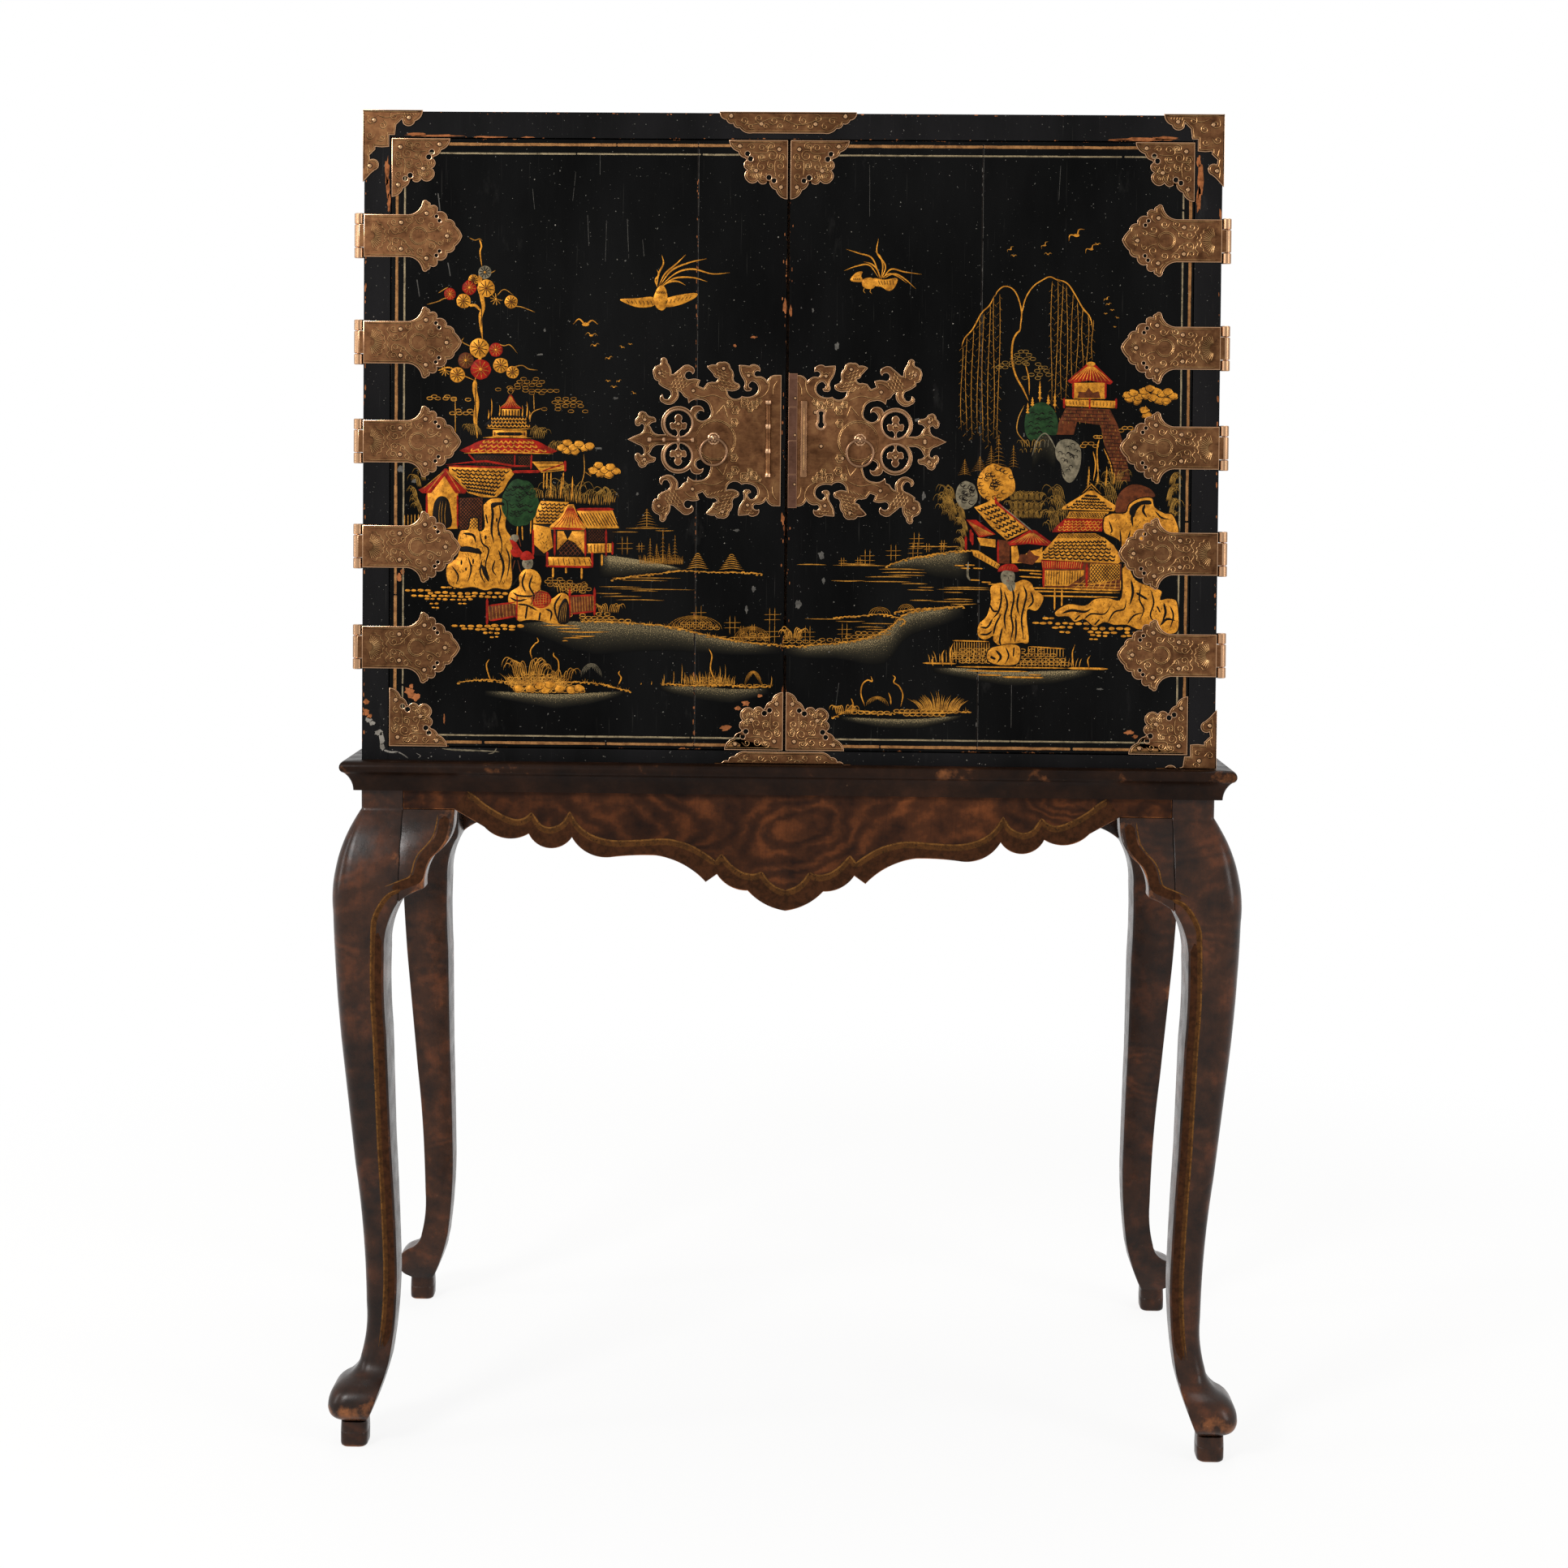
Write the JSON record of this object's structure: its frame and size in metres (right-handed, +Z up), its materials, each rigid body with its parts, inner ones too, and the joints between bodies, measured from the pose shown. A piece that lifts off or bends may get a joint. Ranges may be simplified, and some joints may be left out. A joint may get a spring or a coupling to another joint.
{
  "type": "cabinet on stand",
  "caption": "Two-door japanned cabinet with pierced strap hinges and lock plates, fitted with drawers, on a scalloped stand with cabriole legs.",
  "frame": {"origin": "on the floor, at the middle of the rectangle that bounds the object, between the feet", "axes": "+Z up, the doors face -Y, +X to the viewer's right"},
  "size_m": [1.0592, 0.5672, 1.56],
  "materials": {
    "stand_waist_molding": "dark brown japanned wood with painted grain, glossy",
    "stand_front_apron": "dark brown japanned wood with painted grain, glossy",
    "stand_left_apron": "dark brown japanned wood with painted grain, glossy",
    "stand_right_apron": "dark brown japanned wood with painted grain, glossy",
    "stand_back_rail": "dark brown japanned wood with painted grain, glossy",
    "stand_leg_front_left": "dark brown japanned wood with painted grain, glossy",
    "stand_leg_front_right": "dark brown japanned wood with painted grain, glossy",
    "stand_leg_rear_left": "dark brown japanned wood with painted grain, glossy",
    "stand_leg_rear_right": "dark brown japanned wood with painted grain, glossy",
    "stand_knee_brackets": "dark brown japanned wood with painted grain, glossy",
    "foot_pads": "turned hardwood, dark and dull",
    "japan_case_top": "black japanned softwood, glossy, worn at edges",
    "japan_case_bottom": "black japanned softwood, glossy, worn at edges",
    "japan_case_left_side": "black japanned softwood, glossy, worn at edges",
    "japan_case_right_side": "black japanned softwood, glossy, worn at edges",
    "japan_case_back": "black japanned softwood, glossy, worn at edges",
    "japan_frame_stiles": "black japanned softwood, glossy, worn at edges",
    "japan_frame_rails": "black japanned softwood, glossy, worn at edges",
    "nest_wood": "plain softwood, stained red-brown",
    "brass_side_leaves_left": "engraved brass, aged copper-brown, brighter at worn edges",
    "brass_side_leaves_right": "engraved brass, aged copper-brown, brighter at worn edges",
    "brass_hinge_pins": "engraved brass, aged copper-brown, brighter at worn edges",
    "brass_case_corner_mounts": "engraved brass, aged copper-brown, brighter at worn edges",
    "brass_case_centre_mounts": "engraved brass, aged copper-brown, brighter at worn edges",
    "japan_door_left": "black japanned softwood, glossy, worn at edges",
    "brass_straps_left": "engraved brass, aged copper-brown, brighter at worn edges",
    "brass_lock_plate_left": "engraved brass, aged copper-brown, brighter at worn edges",
    "brass_plate_fittings_left": "engraved brass, aged copper-brown, brighter at worn edges",
    "brass_door_corners_left": "engraved brass, aged copper-brown, brighter at worn edges",
    "iron_slip_bolt_guides": "dark wrought iron, lightly worn",
    "japan_door_right": "black japanned softwood, glossy, worn at edges",
    "brass_straps_right": "engraved brass, aged copper-brown, brighter at worn edges",
    "brass_lock_plate_right": "engraved brass, aged copper-brown, brighter at worn edges",
    "brass_plate_fittings_right": "engraved brass, aged copper-brown, brighter at worn edges",
    "brass_door_corners_right": "engraved brass, aged copper-brown, brighter at worn edges",
    "iron_lock_case": "dark wrought iron, lightly worn",
    "brass_ring_pull_left": "engraved brass, aged copper-brown, brighter at worn edges",
    "brass_ring_pull_right": "engraved brass, aged copper-brown, brighter at worn edges",
    "iron_lock_bolt": "dark wrought iron, lightly worn",
    "iron_slip_bolt_top": "dark wrought iron, lightly worn",
    "iron_slip_bolt_bottom": "dark wrought iron, lightly worn",
    "drawer_wood": "plain softwood, stained red-brown"
  },
  "bodies": {
    "stand_and_case": {"waist_molding": "stand_waist_molding", "front_apron": "stand_front_apron", "left_apron": "stand_left_apron", "right_apron": "stand_right_apron", "back_rail": "stand_back_rail", "leg_front_left": "stand_leg_front_left", "leg_front_right": "stand_leg_front_right", "leg_rear_left": "stand_leg_rear_left", "leg_rear_right": "stand_leg_rear_right", "knee_brackets": "stand_knee_brackets", "foot_pads": "foot_pads", "case_top": "japan_case_top", "case_bottom": "japan_case_bottom", "case_left_side": "japan_case_left_side", "case_right_side": "japan_case_right_side", "case_back": "japan_case_back", "frame_stiles": "japan_frame_stiles", "frame_rails": "japan_frame_rails", "nest_boards": "nest_wood", "nest_divider": "nest_wood", "nest_shelves": "nest_wood", "side_leaves_left": "brass_side_leaves_left", "side_leaves_right": "brass_side_leaves_right", "hinge_pins": "brass_hinge_pins", "case_corner_mounts": "brass_case_corner_mounts", "case_centre_mounts": "brass_case_centre_mounts"},
    "left_door": {"door_left": "japan_door_left", "straps_left": "brass_straps_left", "lock_plate_left": "brass_lock_plate_left", "plate_fittings_left": "brass_plate_fittings_left", "door_corners_left": "brass_door_corners_left", "slip_bolt_guides": "iron_slip_bolt_guides"},
    "right_door": {"door_right": "japan_door_right", "straps_right": "brass_straps_right", "lock_plate_right": "brass_lock_plate_right", "plate_fittings_right": "brass_plate_fittings_right", "door_corners_right": "brass_door_corners_right", "lock_case": "iron_lock_case"},
    "left_ring": {"ring_pull_left": "brass_ring_pull_left"},
    "right_ring": {"ring_pull_right": "brass_ring_pull_right"},
    "bolt": {"lock_bolt": "iron_lock_bolt"},
    "top_slip_bolt": {"slip_bolt_top": "iron_slip_bolt_top"},
    "bottom_slip_bolt": {"slip_bolt_bottom": "iron_slip_bolt_bottom"},
    "left_drawer_1": {"drawer_left_1": "drawer_wood"},
    "left_drawer_2": {"drawer_left_2": "drawer_wood"},
    "left_drawer_3": {"drawer_left_3": "drawer_wood"},
    "left_drawer_4": {"drawer_left_4": "drawer_wood"},
    "right_drawer_1": {"drawer_right_1": "drawer_wood"},
    "right_drawer_2": {"drawer_right_2": "drawer_wood"},
    "right_drawer_3": {"drawer_right_3": "drawer_wood"},
    "right_drawer_4": {"drawer_right_4": "drawer_wood"}
  },
  "joints": [
    {"name": "left_door_hinge", "type": "hinge", "parent": "stand_and_case", "child": "left_door", "pos_m": [-0.502, -0.2455, 1.176], "axis": [0, 0, -1], "range_deg": [0, 240]},
    {"name": "right_door_hinge", "type": "hinge", "parent": "stand_and_case", "child": "right_door", "pos_m": [0.502, -0.2455, 1.176], "axis": [0, 0, 1], "range_deg": [0, 240]},
    {"name": "left_ring_swing", "type": "hinge", "parent": "left_door", "child": "left_ring", "pos_m": [-0.0878, -0.2555, 1.1822], "axis": [-1, 0, 0], "range_deg": [0, 160]},
    {"name": "right_ring_swing", "type": "hinge", "parent": "right_door", "child": "right_ring", "pos_m": [0.0818, -0.2555, 1.1822], "axis": [-1, 0, 0], "range_deg": [0, 160]},
    {"name": "lock_bolt_throw", "type": "slide", "parent": "right_door", "child": "bolt", "axis": [-1, 0, 0], "range_m": [0, 0.009]},
    {"name": "top_slip_bolt_slide", "type": "slide", "parent": "left_door", "child": "top_slip_bolt", "axis": [0, 0, 1], "range_m": [0, 0.012]},
    {"name": "bottom_slip_bolt_slide", "type": "slide", "parent": "left_door", "child": "bottom_slip_bolt", "axis": [0, 0, -1], "range_m": [0, 0.012]},
    {"name": "left_drawer_1_slide", "type": "slide", "parent": "stand_and_case", "child": "left_drawer_1", "axis": [0, -1, 0], "range_m": [0, 0.25]},
    {"name": "left_drawer_2_slide", "type": "slide", "parent": "stand_and_case", "child": "left_drawer_2", "axis": [0, -1, 0], "range_m": [0, 0.25]},
    {"name": "left_drawer_3_slide", "type": "slide", "parent": "stand_and_case", "child": "left_drawer_3", "axis": [0, -1, 0], "range_m": [0, 0.25]},
    {"name": "left_drawer_4_slide", "type": "slide", "parent": "stand_and_case", "child": "left_drawer_4", "axis": [0, -1, 0], "range_m": [0, 0.25]},
    {"name": "right_drawer_1_slide", "type": "slide", "parent": "stand_and_case", "child": "right_drawer_1", "axis": [0, -1, 0], "range_m": [0, 0.25]},
    {"name": "right_drawer_2_slide", "type": "slide", "parent": "stand_and_case", "child": "right_drawer_2", "axis": [0, -1, 0], "range_m": [0, 0.25]},
    {"name": "right_drawer_3_slide", "type": "slide", "parent": "stand_and_case", "child": "right_drawer_3", "axis": [0, -1, 0], "range_m": [0, 0.25]},
    {"name": "right_drawer_4_slide", "type": "slide", "parent": "stand_and_case", "child": "right_drawer_4", "axis": [0, -1, 0], "range_m": [0, 0.25]}
  ],
  "couplings": [
    {"joint": "left_drawer_1_slide", "follows": "left_door_hinge", "m_per_rad": 0.059683},
    {"joint": "left_drawer_2_slide", "follows": "left_door_hinge", "m_per_rad": 0.059683},
    {"joint": "left_drawer_3_slide", "follows": "left_door_hinge", "m_per_rad": 0.059683},
    {"joint": "left_drawer_4_slide", "follows": "left_door_hinge", "m_per_rad": 0.059683},
    {"joint": "right_drawer_1_slide", "follows": "right_door_hinge", "m_per_rad": 0.059683},
    {"joint": "right_drawer_2_slide", "follows": "right_door_hinge", "m_per_rad": 0.059683},
    {"joint": "right_drawer_3_slide", "follows": "right_door_hinge", "m_per_rad": 0.059683},
    {"joint": "right_drawer_4_slide", "follows": "right_door_hinge", "m_per_rad": 0.059683}
  ]
}
